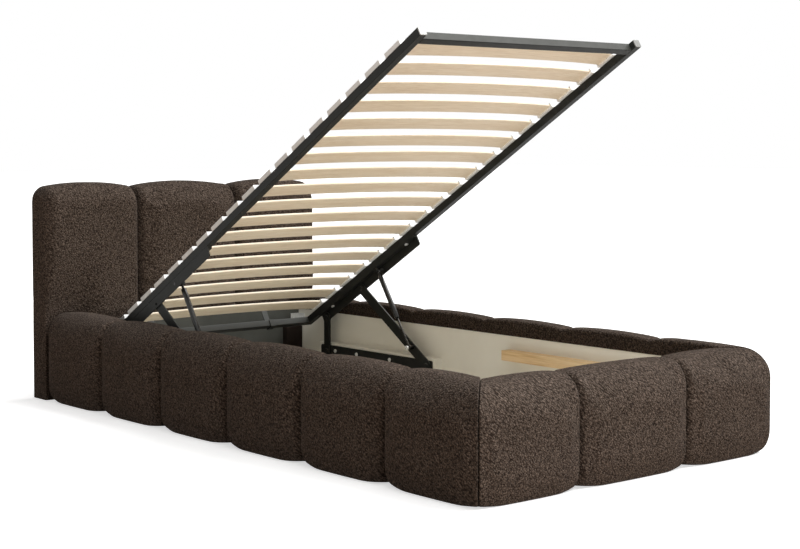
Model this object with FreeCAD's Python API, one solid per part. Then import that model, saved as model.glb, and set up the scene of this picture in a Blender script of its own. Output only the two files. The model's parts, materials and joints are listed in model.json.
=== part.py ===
"""Upholstered storage bed for a 900 x 2000 mattress, with its slatted lift frame raised.

Millimetres. +Z is up, +Y runs from the foot to the headboard, and the bed is mirrored about X = 0.
The origin is on the floor, under the middle of the whole bed.
"""
import FreeCAD
import Part
import math
import os

V = FreeCAD.Vector

# Upholstered box, measured at the sewn seams
rail_pitch = 375.5
rail_channels = 6
foot_middle_channel = 436.0
rail_depth = 109.0
rail_notch_height = 314.0
rail_crown_height = 334.0
headboard_depth = 95.0
headboard_notch_height = 757.0
headboard_crown_height = 780.0
pad_bulge = 18.0
fabric_overlap = 2.0
lining_height = 283.0
glide_height = 4.0

# Rounding of a pad: quarter ellipses over the inner edge, the outer edge and the bottom edge
crown_inset = 78.0
top_round_height = 118.0
inner_round_height = 18.0
bottom_round_height = 72.0
bottom_round_depth = 20.0
inner_steps = 2
top_steps = 4
bottom_steps = 2
seam_pull = 0.73
pad_stations = (0, 0.06, 0.2, 0.5, 0.8, 0.94, 1)

# Boards and timber
panel_thickness = 16.0
headboard_panel_thickness = 18.0
headboard_panel_margin = 30.0
head_board_gap = 42.0
head_board_height = 282.0
floor_thickness = 6.0
bearer_height = 18.0
bearer_width = 45.0
bearer_count = 3
ledger_height = 34.0
ledger_thickness = 40.0
ledger_top = 219.6
ledger_length = 839.0
ledger_foot_gap = 5.0
block_thickness = 32.0

# Glides and corner brackets
glide_length = 60.0
glide_inset = 120.0
glides_per_rail = 4
bracket_leg = 40.0
bracket_height = 30.0
bracket_thickness = 2.5
bracket_level = 232.0

# Lift frame, in its own directions: along from the head end, and up from the tube's underside
frame_width = 900.0
frame_length = 1960.0
frame_tilt = 30.8
tube_size = 25.0
tube_wall = 1.5
tube_corner = 2.0
foot_tube_setback = 18.0
plug_cap = 3.0
plug_depth = 16.0
slat_count = 18
slat_foot_margin = 118.2
slat_head_margin = 112.9
slat_width = 62.5
slat_thickness = 8.0
slat_rise = 22.0
slat_end_inset = 14.0
slat_end_level = 7.6
holder_length = 73.0
holder_width = 36.0
holder_height = 16.0
stop_offset = 252.0
stop_width = 24.0
stop_thickness = 3.0
stop_height = 95.0

# Lift hinge: pivots on the base plate, and lengths of the linkage
rear_pivot_setback = 294.0
rear_pivot_z = 123.0
pivot_span = 581.0
front_pivot_z = 127.0
rear_link_length = 128.0
hinge_span = 244.0
frame_overhang = 116.0
pivot_drop = 23.5
link_width = 37.0
link_thickness = 5.0
link_gap = 0.3
plate_thickness = 4.0
plate_height = 38.0
plate_front_end = 25.0
plate_rear_end = 43.0
block_margin = 14.0
block_rise = 8.0
angle_leg = 35.0
angle_back = 30.0
angle_front = 376.0
pin_diameter = 10.0
pin_head_diameter = 19.0
pin_head_height = 3.0
pin_head_taper = 0.7

# Gas struts
strut_from_front_pivot = 142.0
strut_drop = 18.0
strut_foot_along = 92.0
strut_foot_offset = 8.0
strut_axis_inset = 22.0
cylinder_diameter = 18.0
cylinder_length = 200.0
cylinder_neck = 22.0
cylinder_end_wall = 9.0
rod_diameter = 8.0
rod_engagement = 34.0
eye_radius = 9.0
eye_thickness = 9.0
stud_diameter = 8.0
collar_diameter = 13.0
nut_across = 14.0
nut_height = 6.0

# Clearances
soft_gap = 0.3
fit_gap = 0.25
slat_gap = 0.3

# Places that follow from the sizes above
frame_side = frame_width / 2
lining_x = frame_side + block_thickness
panel_out_x = lining_x + panel_thickness
half = lining_x + rail_depth
side_channel = half - foot_middle_channel / 2
rail_length = rail_channels * rail_pitch
overall_length = pad_bulge + rail_length + headboard_depth
foot_y = pad_bulge - overall_length / 2
head_y = foot_y + rail_length
back_y = head_y + headboard_depth
foot_lining_y = foot_y + rail_depth
head_board_y = head_y - head_board_gap - panel_thickness
floor_z = glide_height + bearer_height
tube_inner = frame_side - tube_size
plate_x = frame_side - plate_thickness
link_x = plate_x - link_gap - link_thickness
strut_x = plate_x - strut_axis_inset
slat_half_length = frame_side - slat_end_inset
slat_pitch = (frame_length - slat_foot_margin - slat_head_margin) / (slat_count - 1)
rear_pivot_y = head_y - rear_pivot_setback
front_pivot_y = rear_pivot_y - pivot_span
tilt = math.radians(frame_tilt)


def along_frame(distance, up):
    """Offset in (y, z) for a step along the raised frame toward the foot, and square to it."""
    y = -distance * math.cos(tilt) + up * math.sin(tilt)
    z = distance * math.sin(tilt) + up * math.cos(tilt)
    return y, z


def shifted(point, step):
    return point[0] + step[0], point[1] + step[1]


# Pivots of the linkage in the (y, z) plane
rear_base = (rear_pivot_y, rear_pivot_z)
front_base = (front_pivot_y, front_pivot_z)
rear_top = (rear_pivot_y, rear_pivot_z + rear_link_length)
front_top = shifted(rear_top, along_frame(hinge_span, 0))
frame_head = shifted(rear_top, along_frame(-frame_overhang, pivot_drop))
strut_top = shifted(front_top, along_frame(strut_from_front_pivot, pivot_drop - strut_drop))
front_lean = math.atan2(front_top[1] - front_base[1], front_top[0] - front_base[0])
strut_foot = (
    front_base[0] + strut_foot_along * math.cos(front_lean) - strut_foot_offset * math.sin(front_lean),
    front_base[1] + strut_foot_along * math.sin(front_lean) + strut_foot_offset * math.cos(front_lean),
)


def box(x, y, z):
    """Box from three (low, high) pairs."""
    return Part.makeBox(x[1] - x[0], y[1] - y[0], z[1] - z[0], V(x[0], y[0], z[0]))


def mirrored(shape):
    return shape.mirror(V(0, 0, 0), V(1, 0, 0))


def both_sides(shapes):
    """The right-hand solids and their mirror images, as one group."""
    return Part.makeCompound(list(shapes) + [mirrored(s) for s in shapes])


def cross_pin(point, x_from, x_to, diameter):
    """Round bar along X through a (y, z) point."""
    return Part.makeCylinder(diameter / 2, x_to - x_from, V(x_from, point[0], point[1]), V(1, 0, 0))


def to_frame(shape):
    """Carries a shape from the frame's flat pose, head end at the origin, to its raised place."""
    placed = shape.copy()
    placed.rotate(V(0, 0, 0), V(1, 0, 0), -frame_tilt)
    placed.translate(V(0, frame_head[0], frame_head[1]))
    return placed


def arc(a, middle, b):
    return Part.Arc(a, middle, b).toShape()


def fullness_at(share):
    """How far a channel has swelled at a share of its length: none at the seams, all in the middle."""
    off_middle = 2 * share - 1
    return 1 - (1 - seam_pull) * off_middle ** 2 - seam_pull * off_middle ** 4


def rounded(start, corner, end, steps):
    """Points of a quarter ellipse from start to end, whose end tangents meet at corner."""
    centre = start + end - corner
    turns = [math.pi / 2 * i / steps for i in range(steps + 1)]
    return [centre + (corner - end) * math.cos(t) + (corner - start) * math.sin(t) for t in turns]


def over_and_down(place, inner, out, crown):
    """Points of a pad from its inner face, over its crown and down its outer side to the bottom edge."""
    top = place(out - crown_inset, crown)
    rise = place(inner, crown - inner_round_height)
    shoulder = place(out, crown - top_round_height)
    waist = place(out, glide_height + bottom_round_height)
    foot = place(out - bottom_round_depth, glide_height)
    points = rounded(rise, place(inner, crown), top, inner_steps)[:-1]
    points += rounded(top, place(out, crown), shoulder, top_steps)
    return points + rounded(waist, place(out, glide_height), foot, bottom_steps)


def rail_section(place, fullness):
    """Closed outline of a rail pad, which laps over the top edge of its board."""
    crown = rail_notch_height + (rail_crown_height - rail_notch_height) * fullness
    back = panel_out_x + soft_gap - half
    lap = lining_x - fabric_overlap - half
    step = lining_height + soft_gap
    points = over_and_down(place, lap, pad_bulge * fullness, crown)
    points += [place(back, glide_height), place(back, step), place(lap, step)]
    return Part.makePolygon(points + points[:1])


def headboard_section(place, fullness):
    """Closed outline of a headboard pad, flat at the back."""
    crown = headboard_notch_height + (headboard_crown_height - headboard_notch_height) * fullness
    points = over_and_down(place, -headboard_depth, pad_bulge * fullness, crown)
    points.append(place(-headboard_depth, glide_height))
    return Part.makePolygon(points + points[:1])


def pad(section, start, length, place_at):
    """One sewn channel: full in the middle and drawn in at the seam on each end."""
    first = start + soft_gap / 2
    run = length - soft_gap
    wires = [section(place_at(first + run * share), fullness_at(share)) for share in pad_stations]
    return Part.makeLoft(wires, True, True)


def corner_wedge(rail_side):
    """Prism on one side of the mitre at the right-hand foot corner."""
    reach = rail_depth * 3
    low = V(half + reach, foot_y - reach, -glide_height)
    high = V(half - reach, foot_y + reach, -glide_height)
    third = V(half + reach, foot_y + reach, -glide_height)
    if not rail_side:
        third = V(half - reach, foot_y - reach, -glide_height)
    plan = Part.Face(Part.makePolygon([low, high, third, low]))
    wedge = plan.extrude(V(0, 0, rail_crown_height + reach))
    slide = -soft_gap / 2 if rail_side else soft_gap / 2
    wedge.translate(V(slide, slide, 0))
    return wedge


def rail_place(y):
    return lambda out, z: V(half + out, y, z)


def foot_place(x):
    return lambda out, z: V(x, foot_y - out, z)


def head_place(x):
    return lambda out, z: V(x, head_y - out, z)


def rail_pads():
    """Channels of the right-hand rail, from the foot corner to the headboard."""
    pads = []
    for i in range(rail_channels):
        start = foot_y + i * rail_pitch
        pads.append(pad(rail_section, start, rail_pitch, rail_place))
    pads[0] = pads[0].cut(corner_wedge(False))
    return pads


def foot_pads():
    corner = pad(rail_section, half - side_channel, side_channel, foot_place)
    corner = corner.cut(corner_wedge(True))
    middle = pad(rail_section, -foot_middle_channel / 2, foot_middle_channel, foot_place)
    return Part.makeCompound([corner, middle, mirrored(corner)])


def headboard_panel():
    width = half - headboard_panel_margin
    top = headboard_notch_height - headboard_panel_margin
    return box((-width, width), (back_y - headboard_panel_thickness, back_y), (glide_height, top))


def headboard_pads():
    """Three tall channels, with a pocket for the panel behind and seats for the rail ends."""
    width = half - headboard_panel_margin + soft_gap
    top = headboard_notch_height - headboard_panel_margin + soft_gap
    front = back_y - headboard_panel_thickness - soft_gap
    pocket = box((-width, width), (front, back_y + 1), (0, top))
    seat_x = (lining_x - fabric_overlap - 1, half + 2 * pad_bulge)
    seat = box(seat_x, (head_y - 2 * pad_bulge, head_y + soft_gap), (0, rail_crown_height + 1))
    corner = pad(headboard_section, half - side_channel, side_channel, head_place)
    corner = corner.cut(pocket).cut(seat)
    middle = pad(headboard_section, -foot_middle_channel / 2, foot_middle_channel, head_place)
    middle = middle.cut(pocket)
    return Part.makeCompound([corner, middle, mirrored(corner)])


def bracket_corners():
    """Right-hand inside corners: corner point and the way along Y into the box."""
    level = bracket_level - bracket_height / 2
    return ((V(lining_x, foot_lining_y, level), 1), (V(lining_x, head_board_y, level), -1))


def corner_bracket(corner, into):
    """Bent angle plate between the side panel and an end board."""
    y = sorted((corner.y, corner.y + into * bracket_leg))
    thin = sorted((corner.y, corner.y + into * bracket_thickness))
    z = (corner.z, corner.z + bracket_height)
    side = box((corner.x - bracket_thickness, corner.x), y, z)
    end = box((corner.x - bracket_leg, corner.x), thin, z)
    return side.fuse(end).removeSplitter()


def corner_brackets():
    return both_sides([corner_bracket(corner, into) for corner, into in bracket_corners()])


def side_panel():
    return box((lining_x, panel_out_x), (foot_lining_y - panel_thickness, head_y),
               (glide_height, lining_height))


def foot_panel():
    return box((-lining_x, lining_x), (foot_lining_y - panel_thickness, foot_lining_y),
               (glide_height, lining_height))


def head_end_board():
    return box((-lining_x, lining_x), (head_board_y, head_board_y + panel_thickness),
               (glide_height, head_board_height))


def storage_floor():
    width = lining_x - soft_gap
    return box((-width, width), (foot_lining_y + soft_gap, head_board_y - soft_gap),
               (floor_z, floor_z + floor_thickness))


def bearer_places():
    """Middle lines of the bars under the storage floor."""
    room = head_board_y - foot_lining_y
    return [foot_lining_y + room * (i + 1) / (bearer_count + 1) for i in range(bearer_count)]


def floor_bearers():
    bars = []
    for y in bearer_places():
        bars.append(box((-lining_x, lining_x), (y - bearer_width / 2, y + bearer_width / 2),
                        (glide_height, floor_z)))
    return Part.makeCompound(bars)


def ledger():
    """Timber strip that the closed frame rests on."""
    start = foot_lining_y + bracket_leg + ledger_foot_gap
    return box((lining_x - ledger_thickness, lining_x), (start, start + ledger_length),
               (ledger_top - ledger_height, ledger_top))


def glide(x, y, along_x):
    """Small plastic shoe under a board."""
    long_way = glide_length / 2
    short_way = panel_thickness / 2
    dx, dy = (long_way, short_way) if along_x else (short_way, long_way)
    return box((x - dx, x + dx), (y - dy, y + dy), (0, glide_height))


def floor_glides():
    """Shoes under the side panels, end boards, headboard and bearers."""
    shoes = []
    first = foot_lining_y + glide_inset
    step = (head_y - glide_inset - first) / (glides_per_rail - 1)
    side_x = lining_x + panel_thickness / 2
    for i in range(glides_per_rail):
        shoes.append(glide(side_x, first + i * step, False))
    end_x = lining_x - glide_inset
    shoes.append(glide(end_x, foot_lining_y - panel_thickness / 2, True))
    shoes.append(glide(end_x, head_board_y + panel_thickness / 2, True))
    shoes.append(glide(end_x, back_y - headboard_panel_thickness / 2, True))
    for y in bearer_places():
        shoes.append(glide(end_x, y, True))
    return both_sides(shoes)


def headed_pin(point):
    """Rivet along X that grows out of a plate, with its domed head inboard of the link it carries."""
    seat = link_x - link_gap
    shank = cross_pin(point, seat, plate_x + plate_thickness / 2, pin_diameter)
    rim = pin_head_diameter / 2
    top = V(seat - pin_head_height, point[0], point[1])
    return shank.fuse(Part.makeCone(rim * pin_head_taper, rim, pin_head_height, top, V(1, 0, 0)))


def plate_level():
    """Height of the base plate's middle line."""
    return (rear_pivot_z + front_pivot_z) / 2


def base_plate():
    """Steel strip that carries the two lower pivots of one side, with their rivets."""
    y = (front_pivot_y - plate_front_end, rear_pivot_y + plate_rear_end)
    z = (plate_level() - plate_height / 2, plate_level() + plate_height / 2)
    plate = box((plate_x, frame_side), y, z)
    ends = [e for e in plate.Edges if abs(e.tangentAt(e.FirstParameter).x) > 0.9]
    plate = plate.makeChamfer(plate_height / 8, ends)
    return plate.fuse(headed_pin(rear_base)).fuse(headed_pin(front_base))


def backing_block():
    """Spacer board between the side panel and the base plate."""
    rise = plate_height / 2 + block_rise
    y = (front_pivot_y - plate_front_end - block_margin, rear_pivot_y + plate_rear_end + block_margin)
    return box((frame_side, lining_x), y, (plate_level() - rise, plate_level() + rise))


def link(start, end):
    """Flat steel link with round ends, between two (y, z) pivots."""
    lean = math.atan2(end[1] - start[1], end[0] - start[0])
    radius = link_width / 2
    side = (-math.sin(lean) * radius, math.cos(lean) * radius)
    tip = (math.cos(lean) * radius, math.sin(lean) * radius)

    def corner(point, *steps):
        y = point[0] + sum(s * v[0] for s, v in steps)
        z = point[1] + sum(s * v[1] for s, v in steps)
        return V(link_x, y, z)

    a = corner(start, (1, side))
    b = corner(end, (1, side))
    c = corner(end, (-1, side))
    d = corner(start, (-1, side))
    outline = [Part.makeLine(a, b), arc(b, corner(end, (1, tip)), c)]
    outline += [Part.makeLine(c, d), arc(d, corner(start, (-1, tip)), a)]
    return Part.Face(Part.Wire(outline)).extrude(V(link_thickness, 0, 0))


def pivot_hole(point):
    """Hole through a link or an angle for a pivot rivet."""
    return cross_pin(point, link_x - 1, frame_side + 1, pin_diameter + 2 * fit_gap)


def rear_link():
    return link(rear_base, rear_top).cut(pivot_hole(rear_base)).cut(pivot_hole(rear_top))


def front_link():
    """Long link with the head of its upper rivet, which stops just short of the top angle."""
    rim = pin_head_diameter / 2
    top = V(link_x - pin_head_height, front_top[0], front_top[1])
    head = Part.makeCone(rim * pin_head_taper, rim, pin_head_height, top, V(1, 0, 0))
    return link(front_base, front_top).cut(pivot_hole(front_base)).fuse(head)


def flat_box(x, along, up):
    """Box in the frame's flat pose: along runs from the head end toward the foot."""
    return box(x, (-along[1], -along[0]), up)


def hollow_tube(x, along, inner_x, inner_along):
    """Square tube with eased corners, lying along X or along the frame."""
    outer = flat_box(x, along, (0, tube_size))
    lengthwise = V(1, 0, 0) if x[1] - x[0] > along[1] - along[0] else V(0, 1, 0)
    edges = [e for e in outer.Edges if abs(e.tangentAt(e.FirstParameter).dot(lengthwise)) > 0.9]
    outer = outer.makeFillet(tube_corner, edges)
    return outer.cut(flat_box(inner_x, inner_along, (tube_wall, tube_size - tube_wall)))


def head_mitre(keep_side):
    """Prism that removes the other tube's half of the mitred head corner."""
    reach = tube_size * 3
    low = V(frame_side + reach, reach, -reach)
    high = V(frame_side - reach, -reach, -reach)
    third = V(frame_side + reach, -reach, -reach)
    if keep_side:
        third = V(frame_side - reach, reach, -reach)
    plan = Part.Face(Part.makePolygon([low, high, third, low]))
    return plan.extrude(V(0, 0, 3 * reach))


def side_tube():
    inner = (tube_inner + tube_wall, frame_side - tube_wall)
    tube = hollow_tube((tube_inner, frame_side), (0, frame_length), inner, (-1, frame_length + 1))
    return to_frame(tube.cut(head_mitre(True)))


def head_cross_tube():
    inner = (tube_wall, tube_size - tube_wall)
    tube = hollow_tube((-frame_side, frame_side), (0, tube_size), (-frame_side - 1, frame_side + 1), inner)
    mitre = head_mitre(False)
    return to_frame(tube.cut(mitre).cut(mirrored(mitre)))


def foot_cross_tube():
    start = frame_length - foot_tube_setback - tube_size
    inner = (start + tube_wall, start + tube_size - tube_wall)
    tube = hollow_tube((-tube_inner, tube_inner), (start, start + tube_size),
                       (-tube_inner - 1, tube_inner + 1), inner)
    return to_frame(tube)


def tube_end_plugs():
    """Caps in the open foot ends of the side tubes."""
    room = tube_wall + fit_gap
    cap = flat_box((tube_inner, frame_side), (frame_length, frame_length + plug_cap), (0, tube_size))
    rim = [e for e in cap.Edges if abs(e.tangentAt(e.FirstParameter).y) > 0.9]
    cap = cap.makeChamfer(tube_corner, rim)
    body = flat_box((tube_inner + room, frame_side - room), (frame_length - plug_depth, frame_length),
                    (room, tube_size - room))
    return both_sides([to_frame(cap.fuse(body))])


def top_angle():
    """Steel angle under the side tube: one leg bolted to it, the other with a rivet and a strut stud."""
    along = (frame_overhang - angle_back, frame_overhang + hinge_span + angle_front)
    upright = flat_box((plate_x, frame_side), along, (-angle_leg, 0))
    shelf = flat_box((tube_inner, frame_side), along, (-plate_thickness, 0))
    ends = [e for e in shelf.Edges if abs(e.tangentAt(e.FirstParameter).z) > 0.9]
    inner_ends = [e for e in ends if e.CenterOfMass.x < frame_side - 1]
    shelf = shelf.makeChamfer(tube_size / 3, inner_ends)
    tips = [e for e in upright.Edges if abs(e.tangentAt(e.FirstParameter).x) > 0.9]
    low_tips = [e for e in tips if e.CenterOfMass.z < -angle_leg / 2]
    upright = upright.makeChamfer(plate_thickness, low_tips)
    angle = upright.fuse(shelf).removeSplitter()
    angle = to_frame(angle).cut(pivot_hole(front_top))
    return angle.fuse(headed_pin(rear_top)).fuse(strut_stud(strut_top, plate_x + plate_thickness / 2))


def hexagon(point, x_from, x_to):
    """Hexagonal nut blank along X round a (y, z) point."""
    radius = nut_across / math.sqrt(3)
    corners = []
    for i in range(7):
        turn = math.pi / 3 * i
        corners.append(V(x_from, point[0] + radius * math.cos(turn), point[1] + radius * math.sin(turn)))
    return Part.Face(Part.makePolygon(corners)).extrude(V(x_to - x_from, 0, 0))


def strut_stud(point, x_far):
    """Stud through a strut's eye, with a collar outboard of the eye and a nut inboard."""
    inboard = strut_x - eye_thickness / 2 - soft_gap
    outboard = strut_x + eye_thickness / 2 + soft_gap
    shank = cross_pin(point, inboard, outboard, stud_diameter)
    nut = hexagon(point, inboard - nut_height, inboard)
    return shank.fuse(nut).fuse(cross_pin(point, outboard, x_far, collar_diameter))


def strut_line():
    """Middle of the strut's upper eye, its direction to the lower eye, and its length."""
    start = V(strut_x, strut_top[0], strut_top[1])
    run = V(strut_x, strut_foot[0], strut_foot[1]) - start
    return start, run.normalize(), math.dist(strut_top, strut_foot)


def eye(point):
    """Flat round end fitting of a strut."""
    return cross_pin(point, strut_x - eye_thickness / 2, strut_x + eye_thickness / 2, 2 * eye_radius)


def strut_cylinder():
    """Gas cylinder with its upper eye and the bore that the rod runs in."""
    start, way, length = strut_line()
    neck = Part.makeCylinder(eye_thickness / 2, cylinder_neck + cylinder_end_wall / 2, start, way)
    tube = Part.makeCylinder(cylinder_diameter / 2, cylinder_length - cylinder_neck,
                             start + way * cylinder_neck, way)
    solid_end = cylinder_neck + cylinder_end_wall
    bore = Part.makeCylinder(rod_diameter / 2 + fit_gap, cylinder_length - solid_end + 1,
                             start + way * solid_end, way)
    hole = cross_pin(strut_top, strut_x - eye_thickness, strut_x + eye_thickness, stud_diameter + 2 * fit_gap)
    return eye(strut_top).fuse(neck).fuse(tube).cut(hole).cut(bore)


def strut_rod():
    """Piston rod with its lower eye and the stud that joins it to the front link."""
    start, way, length = strut_line()
    rod = Part.makeCylinder(rod_diameter / 2, length - cylinder_length + rod_engagement,
                            start + way * (cylinder_length - rod_engagement), way)
    return eye(strut_foot).fuse(rod).fuse(strut_stud(strut_foot, link_x - link_gap))


def slat_band(along, extra):
    """Bent slat in the flat pose: an arched strip across the frame, grown by extra all round."""
    reach = slat_half_length + extra
    base = tube_size + slat_end_level
    thick = slat_thickness / 2 + extra
    y = -along - slat_width / 2 - extra

    def bow(level):
        ends = [V(-reach, y, base + level), V(reach, y, base + level)]
        return arc(ends[0], V(0, y, base + level + slat_rise), ends[1])

    lower = bow(-thick)
    upper = bow(thick)
    joins = [Part.makeLine(V(s * reach, y, base - thick), V(s * reach, y, base + thick)) for s in (-1, 1)]
    outline = Part.Wire(Part.__sortEdges__([lower, upper] + joins))
    return Part.Face(outline).extrude(V(0, slat_width + 2 * extra, 0))


def slat_places():
    """Middle lines of the slats, counted from the foot end."""
    return [frame_length - slat_foot_margin - i * slat_pitch for i in range(slat_count)]


def slat(along):
    return to_frame(slat_band(along, 0))


def slat_holders():
    """Moulded pockets on the side tubes, one for each slat end."""
    holders = []
    for along in slat_places():
        x = (frame_side - holder_width, frame_side)
        block = flat_box(x, (along - holder_length / 2, along + holder_length / 2),
                         (tube_size, tube_size + holder_height))
        rim = [e for e in block.Edges if e.CenterOfMass.x > frame_side - 1
               and e.CenterOfMass.z > tube_size + holder_height - 1]
        block = block.makeChamfer(tube_corner, rim)
        holders.append(to_frame(block.cut(slat_band(along, slat_gap))))
    return both_sides(holders)


def mattress_stops():
    """Bent straps that clasp the head tube and stand up behind the mattress."""
    x = (stop_offset - stop_width / 2, stop_offset + stop_width / 2)
    strap = flat_box(x, (-stop_thickness, tube_size + stop_thickness), (-stop_thickness, 0))
    strap = strap.fuse(flat_box(x, (-stop_thickness, 0), (-stop_thickness, stop_height)))
    strap = strap.fuse(flat_box(x, (tube_size, tube_size + stop_thickness), (-stop_thickness, tube_size)))
    return both_sides([to_frame(strap.removeSplitter())])


def parts():
    """Every piece by the name of its node."""
    paired = {
        "side_panel": side_panel(),
        "rail_pads": Part.makeCompound(rail_pads()),
        "ledger": ledger(),
        "backing_block": backing_block(),
        "base_plate": base_plate(),
        "rear_link": rear_link(),
        "front_link": front_link(),
        "side_tube": side_tube(),
        "top_angle": top_angle(),
        "strut_cylinder": strut_cylinder(),
        "strut_rod": strut_rod(),
    }
    nodes = {}
    for name, shape in paired.items():
        nodes["right_" + name] = shape
        nodes["left_" + name] = mirrored(shape)
    for i, along in enumerate(slat_places()):
        nodes[f"slat_{i + 1:02d}"] = slat(along)
    singles = (
        headboard_panel, headboard_pads, head_end_board, foot_panel, foot_pads, storage_floor,
        floor_bearers, floor_glides, corner_brackets, head_cross_tube, foot_cross_tube, tube_end_plugs,
        mattress_stops, slat_holders,
    )
    for make in singles:
        nodes[make.__name__] = make()
    return nodes


os.makedirs("parts", exist_ok=True)
for node, shape in parts().items():
    shape.exportStep(f"parts/{node}.step")
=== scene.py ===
"""Looks of an upholstered storage bed: padded bouclé channels, slats, fasteners, light and camera.

Metres, in the CAD frame: +Z is up, +Y runs from the foot to the headboard, mirrored about X = 0.
"""
import json
import math

import bmesh
import bpy
import numpy as np
from mathutils import Matrix, Vector


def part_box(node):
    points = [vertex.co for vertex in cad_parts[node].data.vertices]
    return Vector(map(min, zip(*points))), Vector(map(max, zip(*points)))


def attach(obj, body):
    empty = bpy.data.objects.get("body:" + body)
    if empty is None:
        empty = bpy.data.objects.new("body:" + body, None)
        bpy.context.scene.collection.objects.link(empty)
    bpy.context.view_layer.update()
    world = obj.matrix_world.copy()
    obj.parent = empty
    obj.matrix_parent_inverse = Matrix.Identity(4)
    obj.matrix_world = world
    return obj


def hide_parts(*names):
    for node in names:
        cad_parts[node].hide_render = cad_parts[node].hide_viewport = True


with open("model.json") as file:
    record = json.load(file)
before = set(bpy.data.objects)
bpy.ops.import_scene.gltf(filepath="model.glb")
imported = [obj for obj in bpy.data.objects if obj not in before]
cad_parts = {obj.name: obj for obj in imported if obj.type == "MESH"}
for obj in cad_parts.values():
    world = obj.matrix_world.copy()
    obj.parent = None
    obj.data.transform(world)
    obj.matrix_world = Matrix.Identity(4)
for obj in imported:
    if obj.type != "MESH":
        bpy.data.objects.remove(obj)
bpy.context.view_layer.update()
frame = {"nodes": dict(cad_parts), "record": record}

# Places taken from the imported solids
panel_low, panel_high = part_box("right_side_panel")
board_low, board_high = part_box("headboard_panel")
LINING_X, PANEL_OUT_X = panel_low.x, panel_high.x
LINING_TOP = panel_high.z
HEAD_Y = panel_high.y
BACK_Y = board_high.y
FOOT_LINING_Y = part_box("foot_panel")[1].y
HEAD_BOARD_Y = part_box("head_end_board")[0].y
STRUT_NUT_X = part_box("right_strut_rod")[0].x

# Padded channels, as in the part's source
RAIL_DEPTH = 0.109
RAIL_PITCH = 0.3755
RAIL_CHANNELS = 6
MIDDLE_CHANNEL = 0.436
RAIL_NOTCH, RAIL_CROWN = 0.314, 0.334
HEAD_NOTCH, HEAD_CROWN = 0.757, 0.780
PAD_BULGE = 0.018
FABRIC_OVERLAP = 0.002
SOFT_GAP = 0.0003
HALF = LINING_X + RAIL_DEPTH
FOOT_Y = FOOT_LINING_Y - RAIL_DEPTH
HEAD_DEPTH = BACK_Y - HEAD_Y
SIDE_CHANNEL = HALF - MIDDLE_CHANNEL / 2

# Recess for the board in the headboard's back
BACK_RECESS = HEAD_Y - board_low.y + SOFT_GAP
BACK_TOP = board_high.z + SOFT_GAP
BACK_HALF = board_high.x + SOFT_GAP

# Inner top edge of the fabric, the hem of its flap inside the box, and the pads' underside
INNER_RISE, INNER_EASE, INNER_DROP = 0.009, 0.008, 0.001
HEM = 0.266
PAD_FLOOR = 0.001

# Steps round a pad: over its free fabric, down its sides, then under it and up its back
BEND_STEPS, TOP_STEPS, SHOULDER_STEPS, LOWER_STEPS = 5, 4, 16, 10
RAIL_SIDE_STEPS, HEAD_SIDE_STEPS = 18, 54
FLAP_STEPS = 4
RAIL_HELD_STEPS = (6, 18, 2, 2, 1, FLAP_STEPS)
HEAD_HELD_STEPS = (6, 36, 2, 4)

# Stations along a pad, partly even and partly crowded towards its seams
STATIONS = 52
EVEN_PART, CROWDED_PART = 0.15, 0.425

# Depth and height of a pad's rounded edges at the top and bottom, and the lift of the bottom one
MIDDLE_EDGES = (Vector((0.066, 0.080)), Vector((0.010, 0.050)), 0.0)
SEAM_EDGES = (Vector((0.068, 0.078)), Vector((0.034, 0.056)), 0.007)
MITRE_EDGES = (Vector((0.070, 0.086)), Vector((0.032, 0.070)), 0.002)
END_REACH = 0.100

# Swell of the face at its seams and the extra between them, then the same for the top, in shares
RAIL_SWELL = (0.006, 0.005, -0.05, 0.29)
FOOT_SWELL = (0.006, 0.005, -0.15, 0.15)
HEAD_SWELL = (0.026, 0.006, 0.12, 0.84)

# Depth and radius of the rounding at a seam, and the share of the depth that the top takes
RAIL_GROOVE = (0.026, 0.022, 0.42)
FOOT_GROOVE = (0.028, 0.018, 0.32)
HEAD_GROOVE = (0.046, 0.028, 0.56)
MITRE_GROOVE = (0.016, 0.005, 0.50)
NO_GROOVE = (0.0, 0.010, 0.0)
# Outward lean from which a seam holds the fabric as a face, and the span over which it gets there
FACE_FROM, FACE_OVER = 0.1, 0.6
# Rounds in which a point beside a leaning seam finds its place
FIT_ROUNDS = 4

# Outer end of the headboard, and its room above the rail and the board inside the box
END_ROUND, END_ROUND_LOW = 0.040, 0.022
END_RISE_RATE = 2.5
END_DOME = 0.007
SEAT_MARGIN, SEAT_TOP = 0.003, 0.322
SEAT_SLOPE, SEAT_RISE, SEAT_EASE = 0.45, 0.20, 0.012
BOARD_ROOM = 0.030
PAD_SHARP = math.radians(55)

# Cloth pressure, the furthest that it may move a point, and how its moves are eased
CLOTH_SETTINGS = {
    "quality": 5, "mass": 0.3, "tension_stiffness": 20, "compression_stiffness": 20,
    "shear_stiffness": 8, "bending_stiffness": 1.5, "use_pressure": True,
    "uniform_pressure_force": 4.0, "vertex_group_mass": "held",
}
CLOTH_FRAMES = 20
CLOTH_CAP = 0.009
CLOTH_FADE = 0.050
EASE_ROUNDS = 12
EASE_KEEP, EASE_TAKE = 0.4, 0.15

# Raised lift frame: its tilt, its head end as y and z, and half its width
FRAME_TILT = math.radians(30.8)
FRAME_LEAN = Matrix.Rotation(-FRAME_TILT, 3, "X")
FRAME_HEAD = (0.90567, 0.21179)
FRAME_SIDE = 0.450

# Slats: width, thickness and edge radius; a parabolic rise, and a steeper turn into the holders
SLAT_COUNT = 18
SLAT_SIZE = (0.0625, 0.008, 0.003)
SLAT_RISE, SLAT_TURN, TURN_POWER = 0.0080, 0.0035, 8
SLAT_STATIONS = 32
EDGE_STEPS = 3

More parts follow.
